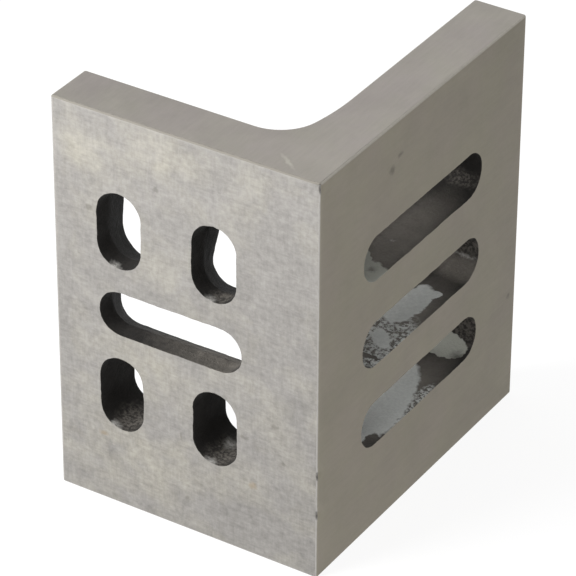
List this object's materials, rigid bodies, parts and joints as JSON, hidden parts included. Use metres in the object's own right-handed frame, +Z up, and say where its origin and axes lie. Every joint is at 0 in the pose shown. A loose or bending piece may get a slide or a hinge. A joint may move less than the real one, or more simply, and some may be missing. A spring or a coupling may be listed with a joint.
{
  "type": "angle plate",
  "caption": "Cast iron open-end angle plate with machined outer faces, upright and level round-ended slots, and a rounded inner corner.",
  "frame": {"origin": "middle of the box's base, on the surface that the plate stands on", "axes": "+Z up along the height, -Y out of the front leg's working face, +X out of the side leg's working face"},
  "size_m": [0.0768, 0.0974, 0.1143],
  "materials": {
    "machined_cast_iron": "fine milled faces, as-cast slots and inner faces"
  },
  "bodies": {
    "root": {"angle_plate": "machined_cast_iron"}
  },
  "joints": []
}
